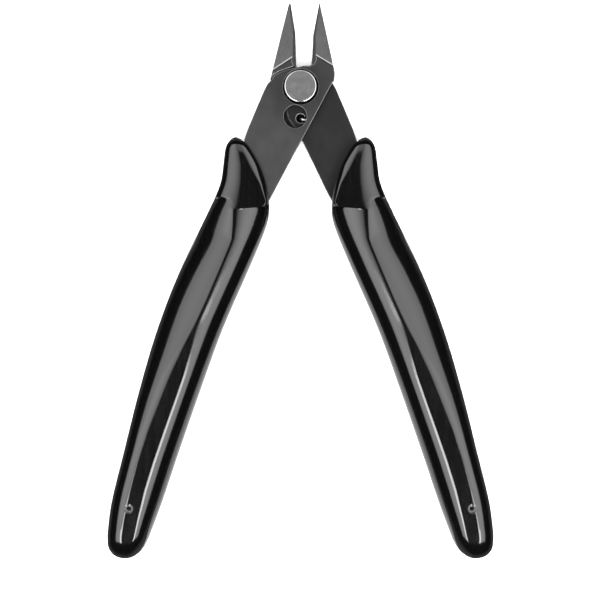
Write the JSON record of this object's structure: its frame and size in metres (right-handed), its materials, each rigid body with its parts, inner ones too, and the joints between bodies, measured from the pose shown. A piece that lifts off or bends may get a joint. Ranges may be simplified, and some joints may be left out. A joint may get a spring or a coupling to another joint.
{
  "type": "flush cutter",
  "caption": "Spring-opened flush cutter: lapped steel halves on a rivet, short ground jaws and long moulded handle sleeves.",
  "frame": {"origin": "bottom centre of the bounding box: on the plane that the backs of both grips rest on, midway between the grips' outer sides and midway between the jaw tips and the grip ends", "axes": "+Z out of the front face of the tool, +Y from the grips towards the jaw tips, +X to the right when the front face is seen with the jaws up"},
  "size_m": [0.0848, 0.1222, 0.01],
  "materials": {
    "front_half_steel": "black phosphate on carbon steel, jaw face ground",
    "rear_half_steel": "black phosphate on carbon steel, jaw face ground",
    "rivet_steel": "turned steel",
    "spring_wire": "bright drawn wire",
    "left_grip_vinyl": "glossy moulded vinyl",
    "right_grip_vinyl": "glossy moulded vinyl"
  },
  "bodies": {
    "left_handle_half": {"front_blade_half": "front_half_steel", "left_grip": "left_grip_vinyl", "pivot_rivet": "rivet_steel", "return_spring": "spring_wire"},
    "right_handle_half": {"rear_blade_half": "rear_half_steel", "right_grip": "right_grip_vinyl"}
  },
  "joints": [
    {"name": "pivot", "type": "hinge", "parent": "left_handle_half", "child": "right_handle_half", "pos_m": [0, 0.04265, 0.005], "axis": [0, 0, -1], "range_deg": [0, 19], "stiffness_Nm_per_rad": 0.15, "springref_deg": -11.46, "deforming": ["return_spring"]}
  ]
}
